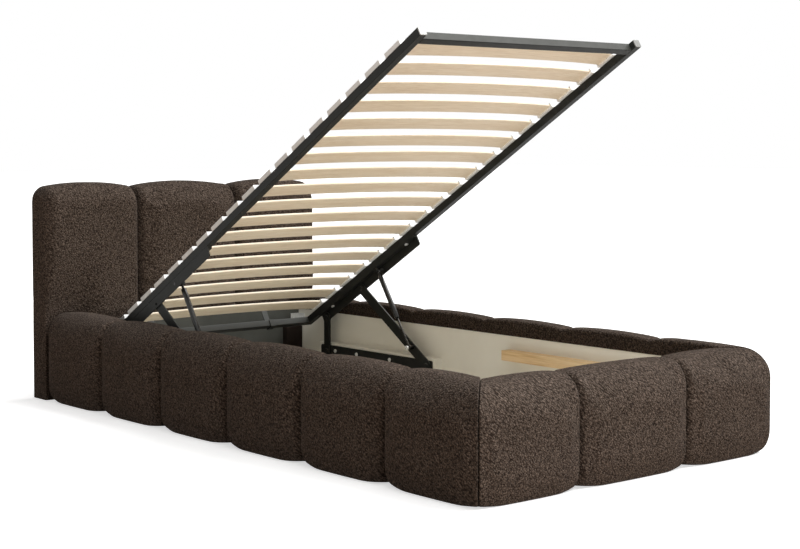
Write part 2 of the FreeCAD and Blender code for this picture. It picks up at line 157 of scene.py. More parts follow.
# Fasteners: radius and height of each kind, then their places
PLATE_SCREW = (0.007, 0.0035)
ANGLE_BOLT = (0.007, 0.004)
STUD_CAP = (0.005, 0.0015)
STRUT_NUT = (0.0085, 0.006)
BRACKET_SCREW = (0.0042, 0.0022)
PLATE_X, PLATE_HEAD_Y, PLATE_Z = 0.446, 0.794, 0.125
PLATE_SCREWS_BACK = (0.047, 0.177, 0.371)
ANGLE_BOLTS_ALONG = (0.176, 0.680)
ANGLE_BOLT_X, ANGLE_SHELF = 0.4375, -0.004
STUD_END = (0.4646, 0.4533)
STRUT_FOOT = (0.28498, 0.18488)
BRACKET_SCREWS_BACK = (0.014, 0.030)
BRACKET_THICK, BRACKET_Z = 0.0025, 0.232

# A turned head: its rim and socket as shares of its size, and its gap to what carries it
HEAD_SEGMENTS = 24
RIM_SHARE, SOCKET_WIDTH, SOCKET_FLOOR = 0.35, 0.48, 0.45
RIM_TURNS = (30, 60, 90)
HEAD_GAP = 0.0001
RIGID_SHARP = math.radians(40)

# Corner posts: width, depth and chamfer, and the heights between which they stand
POST_SIZE = (0.078, 0.026, 0.003)
POST_FROM, POST_TO = 0.0285, 0.198

# Softened edges of the CAD nodes
WELD_DISTANCE = 0.00002
BEVEL_WIDTH, BEVEL_SEGMENTS = 0.0007, 2


def quarter(start, corner, end, steps):
    """Points of a quarter ellipse from start up to end, whose end tangents meet at corner."""
    centre = start + end - corner
    turns = [math.pi / 2 * i / steps for i in range(steps)]
    return [centre + (corner - end) * math.cos(t) + (corner - start) * math.sin(t) for t in turns]


def straight(start, end, steps):
    """Points from start up to end."""
    return [start.lerp(end, i / steps) for i in range(steps)]


def legs(corners, counts):
    """Points along the straight legs between corners, up to the last corner."""
    points = []
    for start, end, steps in zip(corners, corners[1:], counts):
        points += straight(start, end, steps)
    return points


def over_and_down(inner, out, crown, edges, side_steps):
    """Free fabric of a pad: up its inner edge, over the crown and down the outer side."""
    over, under, lifted = edges
    floor = PAD_FLOOR + lifted
    rise = Vector((inner, crown - INNER_RISE))
    bend = Vector((inner + INNER_EASE, crown - INNER_DROP))
    top = Vector((out - over.x, crown))
    shoulder = Vector((out, crown - over.y))
    waist = Vector((out, floor + under.y))
    foot = Vector((out - under.x, floor))
    points = quarter(rise, Vector((inner, bend.y)), bend, BEND_STEPS)
    points += straight(bend, top, TOP_STEPS)
    points += quarter(top, Vector((out, crown)), shoulder, SHOULDER_STEPS)
    points += straight(shoulder, waist, side_steps)
    points += quarter(waist, Vector((out, floor)), foot, LOWER_STEPS)
    return points, foot


def rail_outline(fullness, edges):
    """Outline of a rail pad as (out, z) points, and how many of them are free fabric."""
    crown = RAIL_NOTCH + (RAIL_CROWN - RAIL_NOTCH) * fullness
    lap = LINING_X - FABRIC_OVERLAP - HALF
    lined = LINING_X - SOFT_GAP - HALF
    back = PANEL_OUT_X + SOFT_GAP - HALF
    step = LINING_TOP + SOFT_GAP
    free, foot = over_and_down(lap, PAD_BULGE * fullness, crown, edges, RAIL_SIDE_STEPS)
    corners = [foot, Vector((back, PAD_FLOOR)), Vector((back, step)), Vector((lined, step)),
               Vector((lined, HEM)), Vector((lap, HEM)), Vector((lap, crown - INNER_RISE))]
    return free + legs(corners, RAIL_HELD_STEPS), len(free)


def headboard_outline(fullness, edges):
    """Outline of a headboard pad as (out, z) points, with a recess in its flat back."""
    crown = HEAD_NOTCH + (HEAD_CROWN - HEAD_NOTCH) * fullness
    free, foot = over_and_down(-HEAD_DEPTH, PAD_BULGE * fullness, crown, edges, HEAD_SIDE_STEPS)
    corners = [foot, Vector((BACK_RECESS, PAD_FLOOR)), Vector((BACK_RECESS, BACK_TOP)),
               Vector((-HEAD_DEPTH, BACK_TOP)), Vector((-HEAD_DEPTH, crown - INNER_RISE))]
    return free + legs(corners, HEAD_HELD_STEPS), len(free)


def drawn_in(distance, depth, radius):
    """Depth of a rounded edge at a distance from it: full at the edge, none past its radius."""
    near = min(1, max(0, 1 - distance / radius))
    return depth * (1 - math.sqrt(1 - near * near))


def groove_hold(points, free_count, top_share):
    """Push of a seam along each point's normal: less on the top of a pad than on its face."""
    pushes = []
    for k in range(len(points)):
        run = points[(k + 1) % len(points)] - points[k - 1]
        facing = Vector((-run.y, run.x)).normalized()
        side = min(1, max(0, (facing.x - FACE_FROM) / FACE_OVER))
        side = side * side * (3 - 2 * side)
        hold = top_share * (max(0, facing.y) if facing.x < 0 else 1) * (1 - side) + side
        pushes.append(facing * hold if k < free_count else Vector((0, 0)))
    return pushes


def soft_min(first, second):
    """The smaller of two lengths, with an eased turn where they meet."""
    near = max(0, 1 - abs(first - second) / SEAT_EASE)
    return min(first, second) - near * near * SEAT_EASE / 4


def station_share(i):
    """Stations along a channel, closer together near its seams."""
    even = i / STATIONS
    return EVEN_PART * even + CROWDED_PART * (1 - math.cos(math.pi * even))


def closed_loft(name, rings):
    """Mesh of quads between rings of points, closed at both ends."""
    bm = bmesh.new()
    loops = [[bm.verts.new(point) for point in ring] for ring in rings]
    for loop, following in zip(loops, loops[1:]):
        for k in range(len(loop)):
            after = (k + 1) % len(loop)
            bm.faces.new((loop[k], loop[after], following[after], following[k]))
    bm.faces.new(loops[0])
    bm.faces.new(loops[-1])
    bmesh.ops.recalc_face_normals(bm, faces=bm.faces)
    mesh = bpy.data.meshes.new(name)
    bm.to_mesh(mesh)
    bm.free()
    return mesh


class Form:
    """One padded channel: x runs out of its seam plane, y along the channel and z up.

    Its low and high ends are each a "seam" to the next channel, a "mitre" or "rounded".
    """

    def __init__(self, outline, swell, seam, start, length, low="seam", high="seam"):
        self.swell = swell
        self.on_headboard = outline is headboard_outline
        self.low_mitred, self.high_mitred = low == "mitre", high == "mitre"
        self.rounded_end = high == "rounded"
        self.start = start + SOFT_GAP / 2
        self.length = length - SOFT_GAP + (END_DOME if self.rounded_end else 0)
        self.slack, self.free_count = outline(0, MIDDLE_EDGES)
        self.full, _ = outline(1, MIDDLE_EDGES)
        self.size = len(self.slack)
        kinds = {"seam": (SEAM_EDGES, seam), "mitre": (MITRE_EDGES, MITRE_GROOVE),
                 "rounded": (MIDDLE_EDGES, NO_GROOVE)}
        self.ends = []
        for kind in (low, high):
            edges, groove = kinds[kind]
            points, _ = outline(0, edges)
            self.ends.append((points, groove, groove_hold(points, self.free_count, groove[2])))

    def to_seams(self, along, out):
        """Distances to the low and the high end of the channel at an offset from the seam plane."""
        low, high = along - self.start, self.start + self.length - along
        return low + out if self.low_mitred else low, high + out if self.high_mitred else high

    def place_along(self, share, out):
        """Place along the channel; a mitred end leans with the offset from the seam plane."""
        low, high = self.start, self.start + self.length
        if self.low_mitred:
            low -= out
        if self.high_mitred:
            high += out
        return low + (high - low) * share

    def fullness(self, along):
        """How far the fabric stands out and up, in bulges, crowned between the seams."""
        off_middle = min(1, abs(2 * (along - self.start) / self.length - 1))
        face_low, face_rise, top_low, top_rise = self.swell
        between = 1 - off_middle ** 2
        return (face_low + face_rise * between) / PAD_BULGE, top_low + top_rise * between

    def point(self, share, k):
        """Place of one point of the outline at a share of the channel's length."""
        slack, full = self.slack[k], self.full[k]
        place = slack
        for _ in range(FIT_ROUNDS):
            along = self.place_along(share, place.x)
            out, up = self.fullness(along)
            distances = self.to_seams(along, place.x)
            place = Vector((slack.x + (full.x - slack.x) * out, slack.y + (full.y - slack.y) * up))
            for distance, (end, (depth, radius, _), push) in zip(distances, self.ends):
                near = min(1, max(0, 1 - distance / END_REACH))
                drawn = push[k] * drawn_in(distance, depth, radius)
                place = place + (end[k] - slack) * near ** 2 - drawn
        on_back = k >= self.free_count and place.x <= BACK_RECESS
        if self.rounded_end and on_back and along > BACK_HALF:
            place.x = -HEAD_DEPTH
        return self.kept_clear(Vector((place.x, along, place.y)), True)

    def kept_clear(self, p, shape_end=False):
        """The same point inside the seam planes, the mitre, the floor line and the rail's seat."""
        out, along, z = p
        z = max(z, PAD_FLOOR)
        end = self.start + self.length
        along = min(max(along, self.start), end)
        if self.low_mitred:
            along = max(along, self.start - out)
        if self.high_mitred:
            along = min(along, end + out)
        if self.rounded_end and shape_end:
            out, z = self.end_rounding(out, along, z)
        if self.on_headboard:
            out = soft_min(out, BOARD_ROOM + max(0, z - LINING_TOP) * SEAT_SLOPE)
        if self.rounded_end:
            out = soft_min(out, self.seat_limit(along, z))
        return Vector((out, along, z))

    def end_rounding(self, out, along, z):
        """Draws the section in towards its back and foot over the last stretch of the outer end."""
        rise = (z - RAIL_NOTCH) / (HEAD_NOTCH - RAIL_NOTCH) * END_RISE_RATE
        front = END_ROUND_LOW + (END_ROUND - END_ROUND_LOW) * min(1, max(0, rise))
        to_end = self.start + self.length - along
        depth_kept = 1 - drawn_in(to_end, front, front) / HEAD_DEPTH
        height_kept = 1 - drawn_in(to_end, END_ROUND, END_ROUND) / HEAD_NOTCH
        out = -HEAD_DEPTH + (out + HEAD_DEPTH) * depth_kept
        return out, PAD_FLOOR + (z - PAD_FLOOR) * height_kept

    def seat_limit(self, along, z):
        """How far out the headboard's front may stand near the end of the rail."""
        beside = LINING_X - FABRIC_OVERLAP - SEAT_MARGIN - along
        above = z - SEAT_TOP
        return -SOFT_GAP + math.hypot(max(0, beside) * SEAT_SLOPE, max(0, above) * SEAT_RISE)

    def mesh(self, name):
        """Closed grid round and along the channel, with the flap marked for the painted shade on
        it.
        """
        shares = [station_share(i) for i in range(STATIONS + 1)]
        mesh = closed_loft(name, [[self.point(s, k) for k in range(self.size)] for s in shares])
        marks = [self.flap_share(k) for _ in shares for k in range(self.size)]
        mesh.attributes.new("flap", "FLOAT", "POINT").data.foreach_set("value", marks)
        return mesh

    def flap_share(self, k):
        """1 on the fabric's flap inside the box, falling to 0 over its top edge."""
        if self.on_headboard:
            return 0
        return 1 if k >= self.size - FLAP_STEPS else max(0, 1 - k / BEND_STEPS)

    def held_points(self):
        """Numbers of the points that stay put: the end rings, the back and the underside."""
        held = []
        for i in range(STATIONS + 1):
            for k in range(self.size):
                if i in (0, STATIONS) or k >= self.free_count or k == 0:
                    held.append(i * self.size + k)
        return held


forms = {
    "rail": Form(rail_outline, RAIL_SWELL, RAIL_GROOVE, 0, RAIL_PITCH),
    "rail_corner": Form(rail_outline, RAIL_SWELL, RAIL_GROOVE, FOOT_Y, RAIL_PITCH, low="mitre"),
    "foot_corner": Form(rail_outline, FOOT_SWELL, FOOT_GROOVE, HALF - SIDE_CHANNEL, SIDE_CHANNEL,
                        high="mitre"),
    "foot_middle": Form(rail_outline, FOOT_SWELL, FOOT_GROOVE, -MIDDLE_CHANNEL / 2, MIDDLE_CHANNEL),
    "head_corner": Form(headboard_outline, HEAD_SWELL, HEAD_GROOVE, HALF - SIDE_CHANNEL,
                        SIDE_CHANNEL, high="rounded"),
    "head_middle": Form(headboard_outline, HEAD_SWELL, HEAD_GROOVE, -MIDDLE_CHANNEL / 2,
                        MIDDLE_CHANNEL),
}


def eased(moves, form):
    """Cloth moves averaged with their neighbours along and round the channel, so no fold stays."""
    grid = np.array([tuple(m) for m in moves]).reshape(STATIONS + 1, form.size, 3)
    still = np.zeros((STATIONS + 1) * form.size, dtype=bool)
    still[form.held_points()] = True
    still = still.reshape(STATIONS + 1, form.size)
    for _ in range(EASE_ROUNDS):
        round_it = np.roll(grid, 1, axis=1) + np.roll(grid, -1, axis=1)
        before = np.concatenate((grid[:1], grid[:-1]))
        along_it = before + np.concatenate((grid[1:], grid[-1:]))
        grid = EASE_KEEP * grid + EASE_TAKE * (round_it + along_it)
        grid[still] = 0
    return grid.reshape(-1, 3)


def inflate(meshes):
    """Blows up all pads as cloth bags held at their seams and backs, and keeps the result."""
    scene = bpy.context.scene
    bags = {}
    for name, mesh in meshes.items():
        bag = bpy.data.objects.new("bag_" + name, mesh.copy())
        scene.collection.objects.link(bag)
        group = bag.vertex_groups.new(name="held")
        group.add(forms[name].held_points(), 1, "REPLACE")
        cloth = bag.modifiers.new("Cloth", "CLOTH")
        for setting, value in CLOTH_SETTINGS.items():
            setattr(cloth.settings, setting, value)
        cloth.settings.effector_weights.gravity = 0
        cloth.collision_settings.use_collision = False
        bags[name] = bag
    for step in range(1, CLOTH_FRAMES + 1):
        scene.frame_set(step)
    graph = bpy.context.evaluated_depsgraph_get()
    for name, bag in bags.items():
        form, vertices = forms[name], meshes[name].vertices
        swollen = bag.evaluated_get(graph).data.vertices
        moves = eased([blown.co - v.co for v, blown in zip(vertices, swollen)], form)
        for vertex, move in zip(vertices, moves):
            to_seam = min(form.to_seams(vertex.co.y, vertex.co.x))
            move = Vector(move) * min(1, max(0, to_seam / CLOTH_FADE))
            if move.length > CLOTH_CAP:
                move = move * (CLOTH_CAP / move.length)
            vertex.co = form.kept_clear(vertex.co + move)
    for bag in bags.values():
        data = bag.data
        bpy.data.objects.remove(bag)
        bpy.data.meshes.remove(data)
    scene.frame_set(1)


def nodes_of(name):
    """New node material: the material, its tree and its shader."""
    material = bpy.data.materials.new(name)
    material.use_nodes = True
    return material, material.node_tree, material.node_tree.nodes["Principled BSDF"]


def add(tree, kind, values=None, **settings):
    """Adds a node with socket values and settings."""
    node = tree.nodes.new(kind)
    for key, value in settings.items():
        setattr(node, key, value)
    for socket, value in (values or {}).items():
        node.inputs[socket].default_value = value
    return node


def place_of(tree, scale=(1, 1, 1)):
    """Object coordinates, stretched."""
    coords = add(tree, "ShaderNodeTexCoord")
    mapping = add(tree, "ShaderNodeMapping", {"Scale": scale})
    tree.links.new(coords.outputs["Object"], mapping.inputs["Vector"])
    return mapping.outputs["Vector"]


def speckle(tree, vector, scale, detail=2.0, roughness=0.5, distortion=0.0):
    """Noise factor at a place."""
    texture = add(tree, "ShaderNodeTexNoise", {
        "Scale": scale, "Detail": detail, "Roughness": roughness, "Distortion": distortion})
    tree.links.new(vector, texture.inputs["Vector"])
    return texture.outputs["Fac"]


def ramp(tree, factor, stops):
    """Colour ramp from (position, linear colour) stops."""
    node = add(tree, "ShaderNodeValToRGB")
    elements = node.color_ramp.elements
    while len(elements) < len(stops):
        elements.new(0.5)
    for element, (position, colour) in zip(elements, stops):
        element.position = position
        element.color = (*colour, 1)
    tree.links.new(factor, node.inputs["Fac"])
    return node.outputs["Color"]


# Sockets of a mix node that are used for colours: factor, first and second, and result
MIX_INPUTS, MIX_RESULT = (0, 6, 7), 2


def mixed(tree, factor, first, second, blend="MIX"):
    """Colour mix; each input is a value or a socket."""
    node = add(tree, "ShaderNodeMix", data_type="RGBA", blend_type=blend)
    for number, value in zip(MIX_INPUTS, (factor, first, second)):
        if isinstance(value, bpy.types.NodeSocket):
            tree.links.new(value, node.inputs[number])
        else:
            node.inputs[number].default_value = value
    return node.outputs[MIX_RESULT]


def bump(tree, shader, height, distance, strength):
    """Bump from a height socket."""
    node = add(tree, "ShaderNodeBump", {"Distance": distance, "Strength": strength})
    tree.links.new(height, node.inputs["Height"])
    tree.links.new(node.outputs["Normal"], shader.inputs["Normal"])


# Yarn loops lie aslant, longer than wide
YARN_TURN = (0, math.radians(35.3), math.radians(-45))
YARN_STRETCH = (1.9, 1.0, 1.0)
YARN_SCALE, FLECK_SCALE, SHADE_SCALE = 250.0, 230.0, 14.0
# Colour from a nub's middle out to the gaps between nubs; the darkening into the gaps is painted
# shade
YARN_GAP_SHADE_COLOURS = [(0.08, (0.158, 0.122, 0.100)), (0.42, (0.098, 0.074, 0.059)),
                (0.78, (0.032, 0.023, 0.018))]
FLECK_COLOURS = [(0.34, (0.48, 0.46, 0.44)), (0.52, (1, 1, 1)), (0.70, (1.65, 1.65, 1.65))]
SHADE_COLOURS = [(0.3, (0.95, 0.945, 0.94)), (0.7, (1.05, 1.05, 1.05))]
YARN_DEPTH, YARN_STRENGTH = 0.005, 0.9
YARN_SHADER = {"Roughness": 1.0, "Specular IOR Level": 0.03, "Sheen Weight": 0.04,
               "Sheen Roughness": 0.5}
# On the flap inside the box the fabric gets a painted shade, darker than elsewhere
FLAP_PAINTED_SHADE = (0.52, 0.48, 0.45, 1)


def boucle():
    """Looped yarn: slanting nubs a few millimetres wide, with painted shade in the gaps between
    them, paler flecks, and painted shade on the flap inside the box.
    """
    material, tree, shader = nodes_of("boucle")
    for socket, value in YARN_SHADER.items():
        shader.inputs[socket].default_value = value
    vector = place_of(tree)
    slant = add(tree, "ShaderNodeMapping", {"Rotation": YARN_TURN, "Scale": YARN_STRETCH},
                vector_type="TEXTURE")
    tree.links.new(vector, slant.inputs["Vector"])
    nubs = add(tree, "ShaderNodeTexVoronoi", {"Scale": YARN_SCALE}, feature="F1")
    tree.links.new(slant.outputs["Vector"], nubs.inputs["Vector"])
    yarn = ramp(tree, nubs.outputs["Distance"], YARN_GAP_SHADE_COLOURS)
    fleck = speckle(tree, slant.outputs["Vector"], FLECK_SCALE, detail=1.5, distortion=0.6)
    shade = ramp(tree, speckle(tree, vector, SHADE_SCALE, detail=3.0), SHADE_COLOURS)
    colour = mixed(tree, 1.0, yarn, ramp(tree, fleck, FLECK_COLOURS), "MULTIPLY")
    colour = mixed(tree, 1.0, colour, shade, "MULTIPLY")
    # Painted shade on the flap inside the box, where the flap attribute is 1
    flap = add(tree, "ShaderNodeAttribute", attribute_name="flap")
    turned = mixed(tree, 1.0, colour, FLAP_PAINTED_SHADE, "MULTIPLY")
    colour = mixed(tree, flap.outputs["Fac"], colour, turned)
    tree.links.new(colour, shader.inputs["Base Color"])
    height = add(tree, "ShaderNodeMath", {0: 1.0}, operation="SUBTRACT")
    tree.links.new(nubs.outputs["Distance"], height.inputs[1])
    bump(tree, shader, height.outputs[0], YARN_DEPTH, YARN_STRENGTH)
    return material


# How far noise is squeezed across the grain, for rings and for pores
RING_SQUEEZE, PORE_ALONG, PORE_SQUEEZE = 16.0, 2.0, 90.0
PORE_SCALE, PORE_DEPTH, PORE_STRENGTH = 7.0, 0.0006, 0.25
PORE_COLOURS = [(0.35, (0.86, 0.82, 0.76)), (0.55, (1, 1, 1)), (0.75, (1.05, 1.04, 1.02))]


def timber(name, along, stops, ring_scale, roughness):
    """Sawn or peeled wood with its grain along one axis."""
    material, tree, shader = nodes_of(name)
    vector = place_of(tree, [1.0 if axis == along else RING_SQUEEZE for axis in "xyz"])
    bands = speckle(tree, vector, ring_scale, detail=3.0, roughness=0.55, distortion=0.6)
    rings = ramp(tree, bands, stops)
    fine = place_of(tree, [PORE_ALONG if axis == along else PORE_SQUEEZE for axis in "xyz"])
    pores = speckle(tree, fine, PORE_SCALE, detail=3.0, roughness=0.6)
    colour = mixed(tree, 1.0, rings, ramp(tree, pores, PORE_COLOURS), "MULTIPLY")
    tree.links.new(colour, shader.inputs["Base Color"])
    shader.inputs["Roughness"].default_value = roughness
    bump(tree, shader, pores, PORE_DEPTH, PORE_STRENGTH)
    return material


# Ends of the noise that a mottle spreads over, and its effect on the roughness
CLOUD_LOW, CLOUD_HIGH = 0.3, 0.7
ROUGHNESS_SPREAD = 0.06
GRAIN_DEPTH, GRAIN_STRENGTH = 0.0003, 0.2


def coated(name, dark, light, roughness, scale=40.0, grain=900.0, metallic=0.0, gloss=0.5):
    """Painted, plated, moulded or laminated surface with a faint mottle and a fine grain."""
    material, tree, shader = nodes_of(name)
    shader.inputs["Metallic"].default_value = metallic
    shader.inputs["Specular IOR Level"].default_value = gloss
    vector = place_of(tree)
    cloud = speckle(tree, vector, scale, detail=4.0, roughness=0.6)
    colour = ramp(tree, cloud, [(CLOUD_LOW, dark), (CLOUD_HIGH, light)])
    tree.links.new(colour, shader.inputs["Base Color"])
    rough = add(tree, "ShaderNodeMapRange", {
        "From Min": CLOUD_LOW, "From Max": CLOUD_HIGH,
        "To Min": roughness - ROUGHNESS_SPREAD, "To Max": roughness + ROUGHNESS_SPREAD})
    tree.links.new(cloud, rough.inputs["Value"])
    tree.links.new(rough.outputs["Result"], shader.inputs["Roughness"])
    bump(tree, shader, speckle(tree, vector, grain), GRAIN_DEPTH, GRAIN_STRENGTH)
    return material


# Painted sheen on faces that look up: its colour, and the upward parts at which it starts and is
# full
STEEL_TOP_SHEEN = (0.066, 0.068, 0.062, 1)
SHEEN_FROM, SHEEN_FULL = 0.15, 0.6


def sheened_steel():
    """Matt black powder coat, with a painted sheen that makes it paler where it faces up."""
    material = coated("black_steel", (0.013, 0.0135, 0.012), (0.020, 0.021, 0.019),
                      roughness=0.5, gloss=0.12)
    tree = material.node_tree
    shader = tree.nodes["Principled BSDF"]
    base = shader.inputs["Base Color"].links[0].from_socket
    coords = add(tree, "ShaderNodeTexCoord")
    split = add(tree, "ShaderNodeSeparateXYZ")
    tree.links.new(coords.outputs["Normal"], split.inputs[0])
    up = add(tree, "ShaderNodeMapRange", {"From Min": SHEEN_FROM, "From Max": SHEEN_FULL})
    tree.links.new(split.outputs["Z"], up.inputs["Value"])
    # Painted sheen mixed in on faces that look up
    colour = mixed(tree, up.outputs["Result"], base, STEEL_TOP_SHEEN)
    tree.links.new(colour, shader.inputs["Base Color"])
    return material


# Plug colours: pale grey, and a painted shade for the plug on the right of the bed
PALE_PLUG = [(CLOUD_LOW, (0.40, 0.41, 0.40)), (CLOUD_HIGH, (0.48, 0.49, 0.48))]
SHADED_PLUG = [(CLOUD_LOW, (0.11, 0.11, 0.10)), (CLOUD_HIGH, (0.16, 0.16, 0.145))]
PLUG_ROUGHNESS, PLUG_MOTTLE, PLUG_GRAIN = 0.45, 60.0, 700.0


def end_plug():
    """Tube plug: pale on the left of the bed and dark on the right, where the dark is painted
    shade.
    """
    material, tree, shader = nodes_of("end_plug")
    shader.inputs["Roughness"].default_value = PLUG_ROUGHNESS
    vector = place_of(tree)
    split = add(tree, "ShaderNodeSeparateXYZ")
    tree.links.new(vector, split.inputs[0])
    side = add(tree, "ShaderNodeMath", {1: 0.0}, operation="GREATER_THAN")
    tree.links.new(split.outputs["X"], side.inputs[0])
    cloud = speckle(tree, vector, PLUG_MOTTLE, detail=3.0)
    pale, dark = ramp(tree, cloud, PALE_PLUG), ramp(tree, cloud, SHADED_PLUG)
    colour = mixed(tree, side.outputs[0], pale, dark)
    tree.links.new(colour, shader.inputs["Base Color"])
    bump(tree, shader, speckle(tree, vector, PLUG_GRAIN), GRAIN_DEPTH, GRAIN_STRENGTH)
    return material


BIRCH_COLOURS = [(0.3, (0.82, 0.71, 0.55)), (0.5, (0.87, 0.77, 0.61)), (0.7, (0.90, 0.815, 0.67))]
PINE_COLOURS = [(0.32, (0.62, 0.39, 0.185)), (0.46, (0.78, 0.555, 0.30)), (0.7, (0.84, 0.65, 0.41))]

fabric = boucle()
birch = timber("birch", "x", BIRCH_COLOURS, ring_scale=2.2, roughness=0.5)
pine = timber("pine", "y", PINE_COLOURS, ring_scale=3.0, roughness=0.6)
black_steel = sheened_steel()
gloss_black = coated("strut_paint", (0.012, 0.0115, 0.010), (0.018, 0.017, 0.015),
                     roughness=0.22, gloss=0.34)
rod_steel = coated("strut_rod", (0.036, 0.034, 0.031), (0.052, 0.050, 0.046),
                   roughness=0.26, metallic=1.0)
zinc = coated("zinc", (0.70, 0.71, 0.70), (0.82, 0.83, 0.82),
              roughness=0.34, scale=120.0, metallic=0.4)
lining = coated("lining_board", (0.84, 0.82, 0.74), (0.88, 0.865, 0.79),
                roughness=0.62, scale=6.0, grain=420.0)
dark_board = coated("dark_board", (0.046, 0.048, 0.041), (0.066, 0.068, 0.059),
                    roughness=0.55, scale=14.0, grain=500.0)
post_board = coated("post_board", (0.013, 0.009, 0.007), (0.022, 0.015, 0.012),
                    roughness=0.7, scale=30.0, grain=500.0, gloss=0.1)
floor_board = coated("floor_board", (0.72, 0.69, 0.61), (0.79, 0.76, 0.68),
                     roughness=0.65, scale=8.0, grain=380.0)
white_plastic = coated("white_plastic", (0.86, 0.87, 0.86), (0.92, 0.93, 0.92),
                       roughness=0.45, scale=90.0)
black_plastic = coated("black_plastic", (0.014, 0.014, 0.014), (0.022, 0.022, 0.022),
                       roughness=0.5, scale=90.0)
plug_plastic = end_plug()

SLOT_LOOKS = {
    "boucle": fabric, "lining_board": lining, "dark_board": dark_board, "floor_board": floor_board,
    "pine": pine, "birch": birch, "black_steel": black_steel, "strut_rod": rod_steel, "zinc": zinc,
    "white_plastic": white_plastic, "black_plastic": black_plastic,
}
# Nodes that look different from their slot, by how their names end
OWN_LOOKS = {
    "tube_end_plugs": plug_plastic, "_backing_block": lining, "_strut_cylinder": gloss_black,
}


def dress_cad():
    """Gives every CAD node its finish, and softens its edges."""
    for part in frame["record"]["subparts"]:
        node = frame["nodes"][part["node"]]
        look = SLOT_LOOKS[part["material_slot"]]
        for ending, own_look in OWN_LOOKS.items():
            if part["node"].endswith(ending):
                look = own_look
        node.data.materials.clear()
        node.data.materials.append(look)
        weld = node.modifiers.new("Weld", "WELD")
        weld.merge_threshold = WELD_DISTANCE
        bevel = node.modifiers.new("Bevel", "BEVEL")
        bevel.width = BEVEL_WIDTH
        bevel.segments = BEVEL_SEGMENTS
        bevel.limit_method = "ANGLE"
        bevel.angle_limit = RIGID_SHARP
        bevel.harden_normals = True


def made_piece(name, mesh, look, body):
    """Object of a finished mesh that rides on a body."""
    piece = bpy.data.objects.new(name, mesh)
    bpy.context.scene.collection.objects.link(piece)
    mesh.materials.append(look)
    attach(piece, body)
    return piece


def smoothed(mesh, sharp_angle):
    """Smooth shading with sharp edges past an angle."""
    mesh.shade_smooth()
    mesh.set_sharp_from_angle(angle=sharp_angle)


def pad_places():
    """Name, form, CAD node and place of every padded channel, and whether it is mirrored."""
    to_rail = Matrix.Translation((HALF, 0, 0))
    turn = Matrix.Rotation(math.radians(-90), 4, "Z")
    to_foot = Matrix.Translation((0, FOOT_Y, 0)) @ turn
    to_head = Matrix.Translation((0, HEAD_Y, 0)) @ turn
    for side, flip in (("right", False), ("left", True)):
        node = side + "_rail_pads"
        yield side + "_rail_pad_1", "rail_corner", node, to_rail, flip
        for i in range(1, RAIL_CHANNELS):
            shift = Matrix.Translation((0, FOOT_Y + i * RAIL_PITCH, 0))
            yield f"{side}_rail_pad_{i + 1}", "rail", node, to_rail @ shift, flip
        yield side + "_foot_pad", "foot_corner", "foot_pads", to_foot, flip
        yield side + "_headboard_pad", "head_corner", "headboard_pads", to_head, flip
    yield "middle_foot_pad", "foot_middle", "foot_pads", to_foot, False
    yield "middle_headboard_pad", "head_middle", "headboard_pads", to_head, False


def padded_channels():
    """Pads of the rails, foot end and headboard, which stand for the soft solids."""
    meshes = {name: form.mesh("form_" + name) for name, form in forms.items()}
    inflate(meshes)
    mirror = Matrix.Scale(-1, 4, (1, 0, 0))
    for name, form, node, place, flip in pad_places():
        mesh = meshes[form].copy()
        mesh.name = name
        mesh.transform(mirror @ place if flip else place)
        if flip:
            mesh.flip_normals()
        smoothed(mesh, PAD_SHARP)
        piece = made_piece(name, mesh, fabric, "bed_box")
        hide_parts(node)
    for mesh in meshes.values():
        bpy.data.meshes.remove(mesh)


def slat_section():
    """Outline of a slat across its length, as (width, thickness) points with rounded long edges."""
    wide, thick, radius = SLAT_SIZE
    points = []
    for quadrant, (right, up) in enumerate(((1, 1), (-1, 1), (-1, -1), (1, -1))):
        for i in range(EDGE_STEPS + 1):
            turn = math.pi / 2 * (quadrant + i / EDGE_STEPS)
            points.append((right * (wide / 2 - radius) + radius * math.cos(turn),
                           up * (thick / 2 - radius) + radius * math.sin(turn)))
    return points


def bent_slats():
    """Slats between their holders, flatter in the middle than the solids that they stand for."""
    wide, thick, _ = SLAT_SIZE
    cos, sin = math.cos(FRAME_TILT), math.sin(FRAME_TILT)
    section = slat_section()
    for number in range(1, SLAT_COUNT + 1):
        node = f"slat_{number:02d}"
        low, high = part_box(node)
        end = Vector((0, low.y + wide / 2 * cos + thick / 2 * sin,
                      low.z + wide / 2 * sin + thick / 2 * cos))
        rings = []
        for i in range(SLAT_STATIONS + 1):
            u = 2 * i / SLAT_STATIONS - 1
            rise = SLAT_RISE * (1 - u * u) + SLAT_TURN * (1 - u ** TURN_POWER)
            middle = end + Vector((u * high.x, 0, 0))
            rings.append([middle + FRAME_LEAN @ Vector((0, across, up + rise))
                          for across, up in section])
        mesh = closed_loft("bent_" + node, rings)
        smoothed(mesh, RIGID_SHARP)
        piece = made_piece("bent_" + node, mesh, birch, "lift_frame")
        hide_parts(node)


